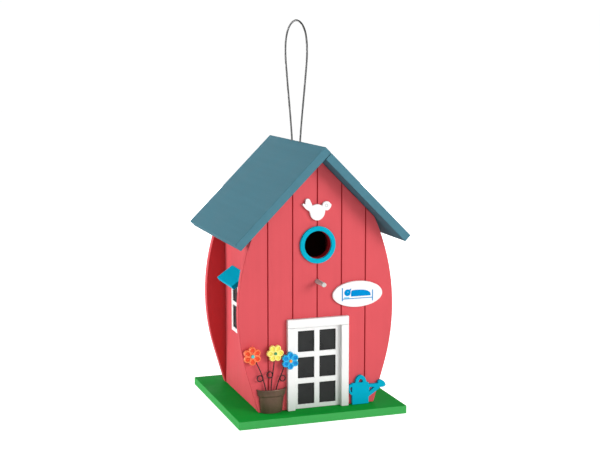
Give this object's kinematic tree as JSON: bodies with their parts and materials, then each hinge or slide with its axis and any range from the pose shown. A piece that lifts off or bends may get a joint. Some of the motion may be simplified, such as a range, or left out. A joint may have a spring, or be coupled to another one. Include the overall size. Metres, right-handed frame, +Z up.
{
  "type": "birdhouse",
  "caption": "Decorative hanging wooden birdhouse: bowed board walls, gable roof, round entrance with perch, door and window trim, flower pot, swinging clean-out cover and wire rope loop.",
  "frame": {"origin": "centre of the base board's underside", "axes": "+Z up, -Y out of the front with the entrance, +X to the right of someone who faces the front"},
  "size_m": [0.1848, 0.18, 0.4035],
  "materials": {
    "red_paint": "satin red paint on wood",
    "green_paint": "satin green paint on wood",
    "blue_paint": "satin blue-grey paint on wood",
    "cyan_paint": "satin cyan paint on wood",
    "teal_paint": "satin teal paint on wood",
    "white_paint": "satin white paint on wood",
    "bare_wood": "sealed bare wood",
    "dark_panel": "smooth dark grey",
    "pot_metal": "dark brown enamel on tin",
    "dark_wire": "black coated wire",
    "orange_enamel": "gloss orange enamel",
    "yellow_enamel": "gloss yellow enamel",
    "blue_enamel": "gloss blue enamel",
    "teal_enamel": "gloss turquoise enamel",
    "green_enamel": "gloss dark green enamel",
    "rope_steel": "laid wire rope",
    "ferrule_metal": "crimped",
    "screw_steel": "zinc plated",
    "screw_brass": "yellow passivated"
  },
  "bodies": {
    "house": {"base_board": "green_paint", "front_wall": "red_paint", "back_wall": "red_paint", "left_side_wall": "red_paint", "right_side_wall": "red_paint", "roof_board_left": "blue_paint", "roof_board_right": "blue_paint", "entrance_ring": "cyan_paint", "perch": "bare_wood", "bird_cutout": "white_paint", "sign_plate": "white_paint", "door_jamb_left": "white_paint", "door_jamb_right": "white_paint", "door_header": "white_paint", "door_leaf": "white_paint", "door_pane_panel": "dark_panel", "window_frame_left": "white_paint", "window_frame_right": "white_paint", "window_pane_left": "dark_panel", "window_pane_right": "dark_panel", "awning_left": "teal_paint", "awning_right": "teal_paint", "flower_pot": "pot_metal", "flower_stem_left": "dark_wire", "flower_stem_middle": "dark_wire", "flower_stem_right": "dark_wire", "flower_head_orange": "orange_enamel", "flower_head_yellow": "yellow_enamel", "flower_head_blue": "blue_enamel", "flower_button_orange": "teal_enamel", "flower_button_yellow": "green_enamel", "flower_button_blue": "orange_enamel", "watering_can": "teal_paint", "hanger_loop": "rope_steel", "hanger_ferrule_front": "ferrule_metal", "hanger_ferrule_back": "ferrule_metal", "cleanout_screw": "screw_steel", "cleanout_washer": "screw_steel", "base_screw_front_left": "screw_brass", "base_screw_front_right": "screw_brass", "base_screw_back_left": "screw_brass", "base_screw_back_right": "screw_brass"},
    "cover": {"cleanout_cover": "red_paint"}
  },
  "joints": [
    {"name": "cover_swing", "type": "hinge", "parent": "house", "child": "cover", "pos_m": [0, 0.068, 0.088], "axis": [0, 1, 0], "continuous": true}
  ]
}
